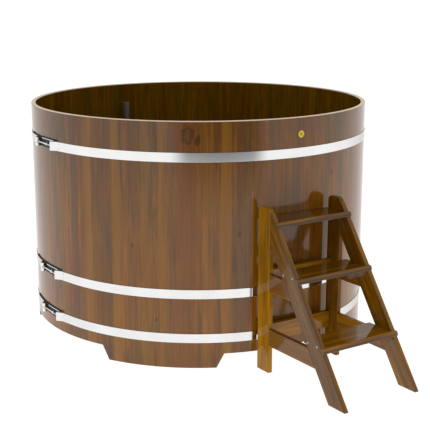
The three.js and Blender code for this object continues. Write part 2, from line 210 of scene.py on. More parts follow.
# finishes of the wood
staveFinish = {
    "tones": [(0.0, (0.098, 0.045, 0.012)), (0.22, (0.150, 0.068, 0.010)),
              (0.42, (0.190, 0.074, 0.004)), (0.6, (0.196, 0.062, 0.003)),
              (0.78, (0.205, 0.090, 0.004)), (1.0, (0.285, 0.112, 0.003))],
    "dark": (0.052, 0.018, 0.002, 1), "knot": (0.135, 0.056, 0.003, 1),
    "gold": (0.285, 0.112, 0.002, 1), "ash": (0.105, 0.045, 0.020, 1),
    "red": (0.190, 0.056, 0.005, 1), "rim": (1.0, 0.79, 0.58, 1), "inside": (0.68, 0.80, 0.045, 1),
    "roughness": 0.11, "ior": 1.53, "drift": 0.28, "streak": (0.72, 1.26), "fibre": (0.66, 1.34),
    # between two heights, or depths from the outside, from one value to another, as painted light
    "topShade": (0.68, 0.96, 1, 0.78), "footPaintedShade": (0.03, 0.10, 0.80, 1),
    "insideShade": (-0.012, -0.0185, 0, 1), "rimHighlight": (0.9962, 0.9988, 0, 0.95),
    "rimDull": 0.4, "bandStreak": (0.55, 1.0), "halo": 0.72,
    # knots: degrees round the tub, height, size, heart
    "knots": [(-35.9, 0.948, 0.018, 0.95), (-33.2, 0.926, 0.009, 0.1), (-53.6, 0.50, 0.004, 0.1),
              (-20.4, 0.555, 0.006, 0.1), (14.0, 0.76, 0.006, 0.2), (-46.0, 0.20, 0.004, 0.1),
              (118.0, 0.62, 0.010, 0.7), (163.0, 0.33, 0.008, 0.2), (-151.0, 0.78, 0.010, 0.7),
              (72.0, 0.45, 0.007, 0.2)],
    # bands: degrees round the tub, width, strength
    "golds": [(-59.0, 0.038, 0.85), (-24.5, 0.044, 0.9), (-49.2, 0.032, 0.5), (-43.7, 0.036, 0.45),
              (-30.0, 0.040, 0.35), (-69.5, 0.045, 0.85), (96.0, 0.035, 0.6), (-140.0, 0.04, 0.6)],
    "ashes": [(-75.8, 0.040, 0.8), (-62.9, 0.046, 0.45), (-53.4, 0.046, 0.4), (-40.9, 0.022, 0.5),
              (-19.4, 0.062, 0.45), (-1.5, 0.040, 0.4), (140.0, 0.035, 0.5), (-112.0, 0.05, 0.5)],
    "reds": [(-36.6, 0.086, 0.75), (-71.8, 0.026, 0.5), (-10.0, 0.05, 0.35), (60.0, 0.06, 0.5)],
}
ladderFinish = {
    "tones": [(0.0, (0.090, 0.036, 0.002)), (0.5, (0.182, 0.070, 0.001)),
              (1.0, (0.290, 0.124, 0.001))],
    "dark": (0.050, 0.016, 0.001, 1), "roughness": 0.07, "ior": 1.46, "legIor": 1.3,
    "drift": 0.30, "streak": (0.68, 1.28), "fibre": (0.68, 1.28),
}
floorFinish = {
    "tones": [(0.0, (0.085, 0.034, 0.004)), (0.5, (0.140, 0.056, 0.004)),
              (1.0, (0.200, 0.082, 0.004))],
    "dark": (0.05, 0.016, 0.001, 1), "roughness": 0.32, "ior": 1.5, "boardWidth": 0.106,
    "shades": (0.85, 1.15), "drift": 0.26, "streak": (0.80, 1.20), "fibre": (0.80, 1.20),
}
lacquerLook = {"pores": 0.45, "gloss": (0.8, 1.3), "bump": (0.03, 0.0004)}


def grainColour(tree, finish, place, seed, tone, shade):
    mark = placeGroup(tree, grain, Place=place, Seed=seed)
    drift = remap(tree, mark["Drift"], 0, 1, -finish["drift"], finish["drift"])
    colour = colourRamp(tree, calc(tree, "ADD", tone, drift), finish["tones"])
    tint = product(tree, remap(tree, mark["Streak"], 0, 1, *finish["streak"]),
                   remap(tree, mark["Fibre"], 0, 1, *finish["fibre"]), shade)
    pores = product(tree, mark["Pore"], lacquerLook["pores"])
    return blendColour(tree, pores, scaled(tree, colour, tint), finish["dark"]), mark


def lacquer(tree, shader, finish, colour, mark, dull=0.0):
    shine = [finish["roughness"] * part for part in lacquerLook["gloss"]]
    gloss = calc(tree, "ADD", remap(tree, mark["Fibre"], 0, 1, *shine), dull)
    feed(shader, {"Base Color": colour, "Roughness": gloss, "IOR": finish["ior"],
                  "Normal": bumpOf(tree, mark["Fibre"], *lacquerLook["bump"])})


staveWood, tree, shader = newMaterial("staveWood")
seed, tone, shade = partsOf(tree, attributeOf(tree, "board"))
spot = attributeOf(tree, "spot")
depth, height = partsOf(tree, spot)[1:]
# painted shade: the staves are darker towards the top and towards the foot
shade = product(tree, shade, remap(tree, height, *staveFinish["topShade"]),
                remap(tree, height, *staveFinish["footPaintedShade"]))
colour, mark = grainColour(tree, staveFinish, attributeOf(tree, "grain"), seed, tone, shade)
for kind, hue in (("golds", "gold"), ("ashes", "ash"), ("reds", "red")):
    for degrees, width, strength in staveFinish[kind]:
        middle = math.radians(degrees) * tubRadius
        mask = placeGroup(tree, band, Spot=spot, Middle=middle, Width=width)["Mask"]
        streak = remap(tree, mark["Streak"], 0, 1, *staveFinish["bandStreak"])
        factor = product(tree, mask, strength, streak)
        colour = blendColour(tree, factor, colour, staveFinish[hue])
for degrees, rise, size, heart in staveFinish["knots"]:
    centre = (math.radians(degrees) * tubRadius, 0, rise)
    made = placeGroup(tree, knot, Spot=spot, Centre=centre, Size=size)
    halo = product(tree, made["Halo"], staveFinish["halo"])
    colour = blendColour(tree, halo, colour, staveFinish["dark"])
    core = product(tree, made["Core"], heart)
    colour = blendColour(tree, core, colour, staveFinish["knot"])
insideShade = remap(tree, depth, *staveFinish["insideShade"], True)  # painted shade: darker on the inside, where the deep tub gets little light
colour = blendColour(tree, insideShade, colour, staveFinish["inside"], "MULTIPLY")
rimHighlight = remap(tree, height, *staveFinish["rimHighlight"], True)  # painted highlight: the rim's end grain is painted pale, standing in for light from above
colour = blendColour(tree, rimHighlight, colour, staveFinish["rim"])
dull = product(tree, rimHighlight, staveFinish["rimDull"])
lacquer(tree, shader, staveFinish, colour, mark, dull)


def boardWood(name, finish):
    made, tree, shader = newMaterial(name)
    board = partsOf(tree, attributeOf(tree, "board"))
    colour, mark = grainColour(tree, finish, attributeOf(tree, "grain"), *board)
    lacquer(tree, shader, finish, colour, mark)
    return made


ladderWood = boardWood("ladderWood", ladderFinish)
legWood = boardWood("legWood", {**ladderFinish, "ior": ladderFinish["legIor"]})

floorWood, tree, shader = newMaterial("floorWood")
place = vectorCalc(tree, "SUBTRACT", objectPlace(tree), tuple(tubAxis))
across, along, deep = partsOf(tree, place)
number = calc(tree, "ROUND", calc(tree, "DIVIDE", across, floorFinish["boardWidth"]))
chance = addNode(tree, "TexWhiteNoise", noise_dimensions="1D")
tone = feed(chance, {"W": number})["Value"]
turned = feed(addNode(tree, "CombineXYZ"), {"X": across, "Y": deep, "Z": along})[0]
shade = remap(tree, tone, 0, 1, *floorFinish["shades"])
colour, mark = grainColour(tree, floorFinish, turned, number, tone, shade)
lacquer(tree, shader, floorFinish, colour, mark)

# finishes of metal and rubber
steelLook = {"clouds": ((9, 9, 9), 2, 0.5), "dark": 0.93, "gloss": (0.8, 1.25),
             "bump": (0.03, 0.0003)}
plainLook = {"gloss": (1.2, 0.85), "bump": (0.04, 0.0003)}


def coat(tree, shader, dark, colour, clouds, roughness, grit, look):
    shine = [roughness * part for part in look["gloss"]]
    share = remap(tree, clouds, *noiseSpan)
    feed(shader, {"Base Color": blendColour(tree, share, (*dark, 1), (*colour, 1)),
                  "Roughness": remap(tree, grit, *noiseSpan, *shine),
                  "Normal": bumpOf(tree, grit, *look["bump"])})


def steel(name, colour, roughness, scales, edgeTint=(1, 1, 1)):
    made, tree, shader = newMaterial(name)
    place = objectPlace(tree)
    dark = [c * steelLook["dark"] for c in colour]
    clouds, brushed = noiseOf(tree, place, *steelLook["clouds"]), noiseOf(tree, place, scales)
    coat(tree, shader, dark, colour, clouds, roughness, brushed, steelLook)
    feed(shader, {"Metallic": 1.0, "Specular Tint": (*edgeTint, 1)})
    return made


def plain(name, colour, dark, roughness, scale):
    made, tree, shader = newMaterial(name)
    grit = noiseOf(tree, objectPlace(tree), (scale, scale, scale))
    coat(tree, shader, dark, colour, grit, roughness, grit, plainLook)
    return made


hoopSteel = steel("hoopSteel", (0.83, 0.825, 0.82), 0.08, (14, 14, 900), (0.74, 0.72, 0.70))
boltSteel = steel("boltSteel", (0.56, 0.575, 0.58), 0.24, (300, 300, 300))
brightSteel = steel("brightSteel", (0.80, 0.81, 0.82), 0.2, (300, 300, 300))
pipeSteel = steel("pipeSteel", (0.40, 0.37, 0.37), 0.42, (700, 700, 25))
# the gasket's black rubber, also used for strips of painted shadow; the bridge's near black is
# painted shade
blackRubberAndShade = plain("blackRubberAndShade", (0.022, 0.022, 0.022), (0.014, 0.014, 0.014), 0.7, 500)
bridgeDark = plain("bridgeDark", (0.014, 0.016, 0.017), (0.008, 0.009, 0.010), 0.6, 400)
print("finishes ready")

# helpers for meshes
sharpTurn = math.radians(38)  # edges that turn more than this are softened
quarter = math.pi / 2
domeSteps = {"u_segments": 24, "v_segments": 12}


def vertsOf(geom):
    return [part for part in geom if isinstance(part, bmesh.types.BMVert)]


def edgesOf(geom):
    return [part for part in geom if isinstance(part, bmesh.types.BMEdge)]


def wholeOf(bm):
    return bm.verts[:] + bm.edges[:] + bm.faces[:]


def toMesh(name, bm):
    mesh = bpy.data.meshes.new(name)
    bm.to_mesh(mesh)
    bm.free()
    return mesh


def toObject(name, bm):
    made = bpy.data.objects.new(name, toMesh(name, bm))
    scene.collection.objects.link(made)
    return made


def fromObject(*holders):  # what the first one shows; all of them are removed
    shown = holders[0].evaluated_get(bpy.context.evaluated_depsgraph_get())
    done = bpy.data.meshes.new_from_object(shown)
    for holder in holders:
        old = holder.data
        bpy.data.objects.remove(holder)
        bpy.data.meshes.remove(old)
    bm = bmesh.new()
    bm.from_mesh(done)
    bpy.data.meshes.remove(done)
    return bm


def join(target, part):
    mesh = toMesh("part", part)
    target.from_mesh(mesh)
    bpy.data.meshes.remove(mesh)


def cutAway(bm, cutter):  # takes one closed shape out of another
    whole, taken = toObject("cut", bm), toObject("cut", cutter)
    cut = whole.modifiers.new("cut", "BOOLEAN")
    cut.operation = "DIFFERENCE"
    cut.solver = "EXACT"
    cut.object = taken
    return fromObject(whole, taken)


def faceOut(bm):
    bmesh.ops.recalc_face_normals(bm, faces=bm.faces)


def mend(bm, dist=weld):
    bmesh.ops.remove_doubles(bm, verts=bm.verts, dist=dist)
    faceOut(bm)


def move(bm, step, verts=None):
    bmesh.ops.translate(bm, vec=step, verts=verts or bm.verts)


def lay(bm, matrix):
    bmesh.ops.transform(bm, matrix=matrix, verts=bm.verts)


def turnAbout(bm, axis, angle, verts=None):
    bmesh.ops.rotate(bm, cent=(0, 0, 0), matrix=Matrix.Rotation(angle, 3, axis),
                     verts=verts or bm.verts)


def spinRound(bm, geom, centre, angle, steps, **more):
    return bmesh.ops.spin(bm, geom=geom, cent=centre, axis=upward, angle=angle, steps=steps,
                          **more)["geom_last"]


def block(size):
    bm = bmesh.new()
    bmesh.ops.create_cube(bm, size=1.0)
    bmesh.ops.scale(bm, vec=size, verts=bm.verts)
    return bm


def bevelEdges(bm, edges, width, segments):
    bmesh.ops.bevel(bm, geom=edges, offset=width, offset_type="OFFSET", segments=segments,
                    profile=0.5, affect="EDGES", clamp_overlap=True, material=-1)


def softenEdges(bm, width, segments=2, shortest=0.0):
    sharp = [e for e in bm.edges if len(e.link_faces) == 2 and e.calc_face_angle(0) > sharpTurn
             and e.calc_length() > shortest]
    bevelEdges(bm, sharp, width, segments)


def markBoard(bm, place, board, spot=None):  # what the wood's materials read
    layers = bm.verts.layers.float_vector
    grainLayer, boardLayer, spotLayer = (
        layers.get(name) or layers.new(name) for name in ("grain", "board", "spot"))
    for v in bm.verts:
        v[grainLayer] = place(v.co)
        v[boardLayer] = board
        v[spotLayer] = spot(v.co) if spot else (0, 0, 0)


def settle(bm, title, body, material, slot, node=None, crease=24):  # titled like its node
    bmesh.ops.dissolve_degenerate(bm, dist=weld, edges=bm.edges)
    faceOut(bm)
    for face in bm.faces:
        face.smooth = True
    first, *rest = title.split("_")
    piece = toObject(first + "".join(word.capitalize() for word in rest), bm)
    piece.data.set_sharp_from_angle(angle=math.radians(crease))
    piece.data.materials.append(material)
    even = piece.modifiers.new("evenShading", "WEIGHTED_NORMAL")
    even.weight = 100
    even.keep_sharp = True
    node = node or title
    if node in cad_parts:  # trim has no node to replace
        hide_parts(node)
    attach(piece, body)


# staves
stave = {
    "count": 48, "wall": 0.020, "height": 1.0, "gap": 0.00002, "edgeRound": 0.00006,
    "rimRound": 0.006, "rimSteps": 6, "arcSteps": 8,
    "grooveLow": 0.1076, "grooveHigh": 0.1444, "grooveDepth": 0.008,
    "archHeight": 0.059, "footAngles": (45, 135, 225, 315), "footBottom": 0.450, "footTop": 0.510,
    "seed": 1.0, "seedStep": 0.37, "middleTone": 0.45, "toneSpread": 0.45,
    "shade": 1.12, "shadeWaves": ((0.05, 2.4), (0.03, 5.1)),
    # tone of each stave, from the ladder round to the right, 0 ashen to 1 golden
    "tones": (0.45, 0.25, 0.35, 0.5, 0.3, 0.62, 0.4, 0.7, 0.52, 0.3, 0.45, 0.66,
              0.36, 0.55, 0.28, 0.48, 0.7, 0.4, 0.33, 0.6, 0.5, 0.25, 0.44, 0.58,
              0.3, 0.64, 0.42, 0.52, 0.36, 0.7, 0.48, 0.3, 0.55, 0.38, 0.62, 0.45,
              0.34, 0.5, 0.42, 0.48, 0.38, 0.46, 0.56, 0.55, 0.52, 0.24, 0.36, 0.32),
}
staveInner = tubRadius - stave["wall"]


def halfTurn(degrees):  # the same direction between -180 and 180 degrees
    return (degrees + 180) % 360 - 180


def staveStart(degrees, base):
    deep = staveInner + stave["grooveDepth"]
    outline = [(staveInner, base), (tubRadius, base),
               (tubRadius, stave["height"]), (staveInner, stave["height"]),
               (staveInner, stave["grooveHigh"]), (deep, stave["grooveHigh"]),
               (deep, stave["grooveLow"]), (staveInner, stave["grooveLow"])]
    bm = bmesh.new()
    verts = [bm.verts.new(aroundTub(r, degrees, z)) for r, z in outline]
    bm.faces.new(verts)
    bmesh.ops.bevel(bm, geom=verts[2:4], offset=stave["rimRound"], offset_type="OFFSET",
                    segments=stave["rimSteps"], profile=0.5, affect="VERTICES", material=-1)
    return bm


def cutFoot(bm, footAngle, side):  # takes the arch out of a stave that holds a foot's slanting end
    arch = stave["archHeight"]
    a = math.radians(footAngle)
    across = Vector((math.cos(a), math.sin(a), 0)) * side
    low = tubAxis + across * stave["footBottom"] / 2
    high = tubAxis + across * stave["footTop"] / 2 + upward * arch
    slant = (high - low).cross(Vector((math.sin(a), -math.cos(a), 0))).normalized()
    if slant.dot(across) < 0:
        slant.negate()
    bmesh.ops.bisect_plane(bm, geom=wholeOf(bm), plane_co=upward * arch, plane_no=upward,
                           dist=fineWeld)
    under = [f for f in bm.faces if f.calc_center_median().z < arch]
    edges = list({e for f in under for e in f.edges})
    verts = list({v for f in under for v in f.verts})
    bmesh.ops.bisect_plane(bm, geom=verts + edges + under, plane_co=low, plane_no=slant,
                           dist=fineWeld)
    gone = [f for f in bm.faces if f.calc_center_median().z < arch - near
            and (f.calc_center_median() - low).dot(slant) > 0]
    bmesh.ops.delete(bm, geom=gone, context="FACES")
    corner = [v for v in bm.verts
              if abs(v.co.z - arch) < weld and abs((v.co - low).dot(slant)) < weld]
    bm.edges.new(corner[:2])
    bmesh.ops.edgenet_fill(bm, edges=[e for e in bm.edges if len(e.link_faces) < 2])


def addStave(target, index):
    width = 360 / stave["count"]
    spare = math.degrees(stave["gap"] / 2 / tubRadius)
    middle = (index + 0.5) * width
    footHalf = math.degrees(math.asin(stave["footTop"] / 2 / staveInner))
    turns = [halfTurn(middle - a) for a in stave["footAngles"]]
    nearest = min(turns, key=abs)
    standing = abs(nearest) < footHalf + width / 2
    bm = staveStart(index * width + spare, 0.0 if standing else stave["archHeight"])
    spinRound(bm, wholeOf(bm), tubAxis, math.radians(width - 2 * spare), stave["arcSteps"])
    mend(bm, fineWeld)
    if standing and abs(nearest) > footHalf - width / 2:
        cutFoot(bm, stave["footAngles"][turns.index(nearest)], 1 if nearest > 0 else -1)
        faceOut(bm)
    softenEdges(bm, stave["edgeRound"])

    def place(co, start=0.0):  # along the wall, through it and up
        flat = co - tubAxis
        away = start + halfTurn(math.degrees(math.atan2(flat.x, -flat.y)) - middle)
        return (math.radians(away) * tubRadius, flat.xy.length - tubRadius, co.z)

    waves = sum(size * math.sin(index * pace) for size, pace in stave["shadeWaves"])
    tone = stave["middleTone"] + (stave["tones"][index] - stave["middleTone"]) * stave["toneSpread"]
    board = (index * stave["seedStep"] + stave["seed"], tone, stave["shade"] + waves)
    markBoard(bm, place, board, lambda co: place(co, halfTurn(middle)))
    join(target, bm)


for pair in range(stave["count"] // 2):
    bm = bmesh.new()
    addStave(bm, pair * 2)
    addStave(bm, pair * 2 + 1)
    settle(bm, f"stave_pair_{pair + 1:02d}", "tub", staveWood, "stave_wood")
print("staves built:", stave["count"])

# floor and bearers
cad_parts["floor_panel"].data.materials.clear()
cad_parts["floor_panel"].data.materials.append(floorWood)
bearer = {"round": 0.004, "steps": 3, "seedStep": 1.7, "tone": 0.4, "shade": 0.9}
for number in (1, 2):
    low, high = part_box(f"floor_bearer_{number}")
    bm = block(high - low)
    move(bm, (low + high) / 2)
    softenEdges(bm, bearer["round"], bearer["steps"])
    board = (number * bearer["seedStep"], bearer["tone"], bearer["shade"])
    markBoard(bm, lambda co: (co.y, co.z, co.x), board)
    settle(bm, f"floor_bearer_{number}", "tub", ladderWood, "floor_wood")

# hoops: flat bands whose ends fold round a barrel
hoop = {
    "heights": {"top": 0.860, "middle": 0.310, "bottom": 0.126}, "inner": 0.7453, "thick": 0.002,
    "width": 0.0375, "buckle": -91.0, "barrelReach": 0.0733, "eyeCentre": 0.7556,
    "eyeRadius": 0.0103, "fold": 0.026, "tail": 0.034, "feather": 0.012,
    "slot": 0.009, "slotShare": 0.6, "edge": 0.0005, "edgeSteps": 2, "edgeTurn": 50, "crease": 18,
    "arcSteps": 240, "eyeSteps": 20, "tailSteps": 4,
    "rivetRadius": 0.0035, "rivetDome": 0.0013, "rivetSpread": 0.010,
}
barrelAngle = math.degrees(math.asin(hoop["barrelReach"] / hoop["eyeCentre"]))
boltAxis = math.sqrt(hoop["eyeCentre"] ** 2 - hoop["barrelReach"] ** 2)


def alongArc(length):
    return math.degrees(length / hoop["inner"])


def extendStrip(bm, geom, step):  # one more length of a strip, from its last row
    grown = bmesh.ops.extrude_edge_only(bm, edges=edgesOf(geom))["geom"]
    moved = vertsOf(grown)
    move(bm, step, moved)
    return moved + [e for e in bm.edges if all(v in moved for v in e.verts)]


def foldEnd(bm, row, angle, side, height):  # eye, ramp and lap; gives the bolt slot's faces
    before = set(bm.faces)
    row = spinRound(bm, row, aroundTub(hoop["eyeCentre"], angle), math.pi * side, hoop["eyeSteps"])
    looped = [f for f in bm.faces if f not in before]
    middle = hoop["inner"] + hoop["thick"] / 2
    lap = middle + hoop["thick"]
    crown = hoop["eyeCentre"] + hoop["eyeRadius"] - hoop["thick"] / 2
    level = hoop["tail"] - hoop["feather"]
    lapFrom, lapTo, tip = (angle + side * alongArc(hoop["fold"] + length)
                           for length in (0, level, hoop["tail"]))
    row = extendStrip(bm, row, aroundTub(lap, lapFrom) - aroundTub(crown, angle))
    row = spinRound(bm, row, tubAxis, math.radians(side * alongArc(level)), hoop["tailSteps"])
    # the lap's end is ground down flush with the band
    extendStrip(bm, row, aroundTub(middle, tip) - aroundTub(lap, lapTo))
    slot = []
    for face in looped:
        centre = face.calc_center_median()
        out = (centre - tubAxis).xy.length - hoop["eyeCentre"]
        inSlot = abs(out) < hoop["slot"] * hoop["slotShare"]
        if inSlot and abs(centre.z - height) < hoop["slot"] / 2:
            slot.append(face)
    return slot


def addRivet(bm, lap, height):
    dome = bmesh.ops.create_uvsphere(bm, radius=hoop["rivetRadius"], **domeSteps)["verts"]
    bmesh.ops.scale(bm, vec=(1, hoop["rivetDome"] / hoop["rivetRadius"], 1), verts=dome)
    turnAbout(bm, "Z", math.radians(lap), dome)
    move(bm, aroundTub(hoop["inner"] + 2 * hoop["thick"], lap, height), dome)


def buildHoop(label, height):
    start, end = hoop["buckle"] + barrelAngle, hoop["buckle"] + 360 - barrelAngle
    levels = [-hoop["width"] / 2, -hoop["slot"] / 2, hoop["slot"] / 2, hoop["width"] / 2]
    bm = bmesh.new()
    verts = [bm.verts.new(aroundTub(hoop["inner"] + hoop["thick"] / 2, start, height + z))
             for z in levels]
    row = verts + [bm.edges.new(pair) for pair in zip(verts, verts[1:])]
    last = spinRound(bm, row, tubAxis, math.radians(end - start), hoop["arcSteps"])
    slots = foldEnd(bm, row, start, 1, height) + foldEnd(bm, last, end, -1, height)
    bmesh.ops.delete(bm, geom=slots, context="FACES")
    mend(bm)
    strap = toObject("strap", bm)
    wall = strap.modifiers.new("thickness", "SOLIDIFY")
    wall.thickness = hoop["thick"]
    wall.offset = 0.0
    wall.use_even_offset = True
    edge = strap.modifiers.new("edge", "BEVEL")
    edge.width = hoop["edge"]
    edge.segments = hoop["edgeSteps"]
    edge.angle_limit = math.radians(hoop["edgeTurn"])
    bm = fromObject(strap)
    for angle, side in ((start, 1), (end, -1)):  # two rivets through each lap
        lap = angle + side * alongArc(hoop["fold"] + hoop["tail"] / 2)
        for rise in (-hoop["rivetSpread"], hoop["rivetSpread"]):
            addRivet(bm, lap, height + rise)
    settle(bm, "hoop_" + label, "tub", hoopSteel, "hoop_steel", crease=hoop["crease"])


for label, height in hoop["heights"].items():
    buildHoop(label, height)
print("hoops built")

# hoop tensioners: barrels, bolts with opposite threads, hex nuts, strips behind the bolts
tensioner = {
    "barrelRadius": 0.008, "barrelHeight": 0.0355, "barrelEdge": 0.0008, "barrelSides": 48,
    "hole": 0.0035, "drillHalf": 0.02, "boltRadius": 0.003, "boltEnd": 0.0793, "boltEdge": 0.0004,
    "boltSides": 32, "threadFrom": 0.036, "pitch": 0.00125, "threadDepth": 0.0004,
    "threadSteps": 14, "rootShare": 1.2, "crestFrom": 0.42, "crestTo": 0.55, "ridgeEnd": 0.97,
    "acrossFlats": 0.010, "nutHeight": 0.016, "nutMiddle": 0.021, "hexEdge": 0.0007,
    "nutClearance": 0.0002, "overshoot": 0.01, "crease": 40, "stripEdge": 0.0002, "stripSteps": 16,
    # start, end, low, high, depth, finish, slot: a bridge that keeps the bolt off the staves, near
    #     # black as painted shade; a lip along its top; black strips of painted shadow above the
    #     lip and
    #     # above the hoop's far end
    "strips": {"bridge": (-0.0615, 0.0615, -0.0175, 0.0190, 0.0007, bridgeDark, "rubber"),
               "bridge_lip": (-0.030, 0.080, 0.0190, 0.0218, 0.0065, brightSteel, "bolt_steel"),
               "bridge_seal": (-0.036, 0.095, 0.0218, 0.0260, 0.0032, blackRubberAndShade, "rubber"),
               "underlay": (-0.20, -0.034, 0.01895, 0.0238, 0.0048, blackRubberAndShade, "rubber")},
}


def buckleFrame(x, height):  # an upright piece made about the origin, set on the bolt's line
    return (Matrix.Translation(tubAxis) @ Matrix.Rotation(math.radians(hoop["buckle"]), 4, "Z")
            @ Matrix.Translation((x, -boltAxis, height)))


def rod(radius, low, high, segments):
    bm = bmesh.new()
    bmesh.ops.create_cone(bm, cap_ends=True, segments=segments, radius1=radius, radius2=radius,
                          depth=high - low)
    move(bm, (0, 0, (low + high) / 2))
    return bm


def hexRod(across, low, high, edge):
    bm = rod(across / 2 / math.cos(math.pi / 6), low, high, 6)
    turnAbout(bm, "Z", quarter)
    softenEdges(bm, edge)
    return bm


def boltThread(bm, side):
    crest, pitch = tensioner["boltRadius"], tensioner["pitch"]
    root = crest - tensioner["threadDepth"] * tensioner["rootShare"]
    turns = int((tensioner["boltEnd"] - tensioner["threadFrom"]) / pitch) - 1
    section = ((root, 0), (crest, tensioner["crestFrom"]), (crest, tensioner["crestTo"]),
               (root, tensioner["ridgeEnd"]))
    ridge = [bm.verts.new((r, 0, side * (tensioner["threadFrom"] + part * pitch)))
             for r, part in section]
    bm.faces.new(ridge)
    edges = [bm.edges.get(pair) for pair in zip(ridge, ridge[1:] + ridge[:1])]
    steps = tensioner["threadSteps"]
    wound = spinRound(bm, ridge + edges, (0, 0, 0), math.tau * turns, turns * steps,
                      dvec=(0, 0, side * pitch / steps))
    bmesh.ops.edgeloop_fill(bm, edges=edgesOf(wound))


def bridgeStrip(start, end, low, high, deep, height):
    bm = bmesh.new()
    inner, outer = hoop["inner"], hoop["inner"] + deep
    first, last = (hoop["buckle"] + math.degrees(length / tubRadius) for length in (start, end))
    bm.faces.new([bm.verts.new(aroundTub(r, first, height + z))
                  for r, z in ((inner, low), (outer, low), (outer, high), (inner, high))])
    spinRound(bm, wholeOf(bm), tubAxis, math.radians(last - first), tensioner["stripSteps"])
    softenEdges(bm, tensioner["stripEdge"])
    return bm


def buildTensioner(title, height):
    half, sides = tensioner["barrelHeight"] / 2, tensioner["boltSides"]
    for end, side in (("head", -1), ("nut", 1)):
        bm = rod(tensioner["barrelRadius"], -half, half, tensioner["barrelSides"])
        softenEdges(bm, tensioner["barrelEdge"])
        drill = rod(tensioner["hole"], -tensioner["drillHalf"], tensioner["drillHalf"], sides)
        turnAbout(drill, "Y", quarter)
        bm = cutAway(bm, drill)
        lay(bm, buckleFrame(side * hoop["barrelReach"], height))
        settle(bm, f"{title}_barrel_{end}", "tub", boltSteel, "bolt_steel", f"{title}_{end}_barrel")

    radius, far, plainEnd = (tensioner[key] for key in ("boltRadius", "boltEnd", "threadFrom"))
    bolt = rod(radius - tensioner["threadDepth"], -far, far, sides)
    softenEdges(bolt, tensioner["boltEdge"])
    join(bolt, rod(radius, -plainEnd, plainEnd, sides))
    for side in (-1, 1):
        boltThread(bolt, side)
    low, high = (tensioner["nutMiddle"] + part * tensioner["nutHeight"] / 2 for part in (-1, 1))
    nut = hexRod(tensioner["acrossFlats"], low, high, tensioner["hexEdge"])
    beyond = tensioner["overshoot"]
    bore = rod(radius + tensioner["nutClearance"], low - beyond, high + beyond, sides)
    for part, bm in (("bolt", bolt), ("nut", cutAway(nut, bore))):
        lay(bm, buckleFrame(0, height) @ Matrix.Rotation(quarter, 4, "Y"))
        settle(bm, f"{title}_{part}", title + "_nut", brightSteel, "bolt_steel",
               crease=tensioner["crease"])

    for part, (start, end, low, high, deep, finish, slot) in tensioner["strips"].items():
        bm = bridgeStrip(start, end, low, high, deep, height)
        settle(bm, f"{title}_{part}", "tub", finish, slot)


for label, height in hoop["heights"].items():
    buildTensioner("hoop_" + label, height)
print("tensioners built")

# drain and standpipe: profiles of radius and height, turned about the drain's axis
drainLow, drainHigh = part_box("drain_body")
drainAt = Vector(((drainLow.x + drainHigh.x) / 2, (drainLow.y + drainHigh.y) / 2, 0))
drain = {
    "body": [(0.015, 0.068), (0.021, 0.068), (0.021, 0.1466), (0.036, 0.1466), (0.036, 0.1506),
             (0.0193, 0.1506), (0.0193, 0.1766), (0.0163, 0.1766), (0.0163, 0.1506),
             (0.013, 0.1506), (0.013, 0.1466), (0.015, 0.1466)],
    "gasket": [(0.0215, 0.1443), (0.036, 0.1443), (0.036, 0.1463), (0.0215, 0.1463)],
    "pipe": [(0.014, 0.1509), (0.016, 0.1509), (0.016, 0.911), (0.014, 0.911)],
    "steps": 64, "edge": 0.0007, "gasketEdge": 0.0004,
    "locknutAcross": 0.058, "locknutLow": 0.0957, "locknutTop": 0.1077, "locknutEdge": 0.0012,
    "locknutBore": 0.0215, "boreFrom": 0.05, "boreTo": 0.15,
}


def spinProfile(profile, centre, closed=True):
    bm = bmesh.new()
    verts = [bm.verts.new(centre + Vector((r, 0, z))) for r, z in profile]
    ring = verts + verts[:1] if closed else verts
    edges = [bm.edges.new(pair) for pair in zip(ring, ring[1:])]
    spinRound(bm, verts + edges, centre, math.tau, drain["steps"], use_merge=True)
    mend(bm)
    return bm


for title, part, edge, body, finish, slot, node in (
        ("drain_body", "body", "edge", "tub", boltSteel, "bolt_steel", None),
        ("drain_gasket", "gasket", "gasketEdge", "tub", blackRubberAndShade, "rubber", None),
        ("overflow_pipe", "pipe", "edge", "standpipe", pipeSteel, "hoop_steel", "standpipe")):
    bm = spinProfile(drain[part], drainAt)
    softenEdges(bm, drain[edge])
    settle(bm, title, body, finish, slot, node)
bm = hexRod(drain["locknutAcross"], drain["locknutLow"], drain["locknutTop"], drain["locknutEdge"])
bm = cutAway(bm, rod(drain["locknutBore"], drain["boreFrom"], drain["boreTo"], drain["steps"]))
move(bm, drainAt)
settle(bm, "drain_locknut", "tub", boltSteel, "bolt_steel")

# badge: a plain disc with a turned rim
badge = {
    "height": 0.933, "radius": 0.0155, "stand": 0.7453, "crease": 40,
    "profile": [(0.0, 0.0), (0.0155, 0.0), (0.0155, 0.0022), (0.0147, 0.003), (0.0128, 0.003),
                (0.0120, 0.0023), (0.0072, 0.0023), (0.0066, 0.0019), (0.0060, 0.0023),
                (0.0, 0.0024)],
    # colours by their share of the radius
    "rings": [(0.0, (0.30, 0.17, 0.004)), (0.22, (0.42, 0.25, 0.004)), (0.34, (0.80, 0.50, 0.004)),
              (0.62, (0.84, 0.56, 0.006)), (0.72, (0.94, 0.74, 0.05)), (0.88, (0.90, 0.66, 0.01)),
              (0.97, (0.25, 0.14, 0.01))],
    "roughness": 0.22, "speckle": (300, 300, 300),
}
badgeAt = aroundTub(badge["stand"], 0, badge["height"])
yellowEnamel, tree, shader = newMaterial("yellowEnamel")
place = objectPlace(tree)
away = vectorCalc(tree, "SUBTRACT", place, tuple(badgeAt))
away = vectorCalc(tree, "LENGTH", vectorCalc(tree, "MULTIPLY", away, (1, 0, 1)))
rings = colourRamp(tree, calc(tree, "DIVIDE", away, badge["radius"]), badge["rings"])
speckle = bumpOf(tree, noiseOf(tree, place, badge["speckle"]), *plainLook["bump"])
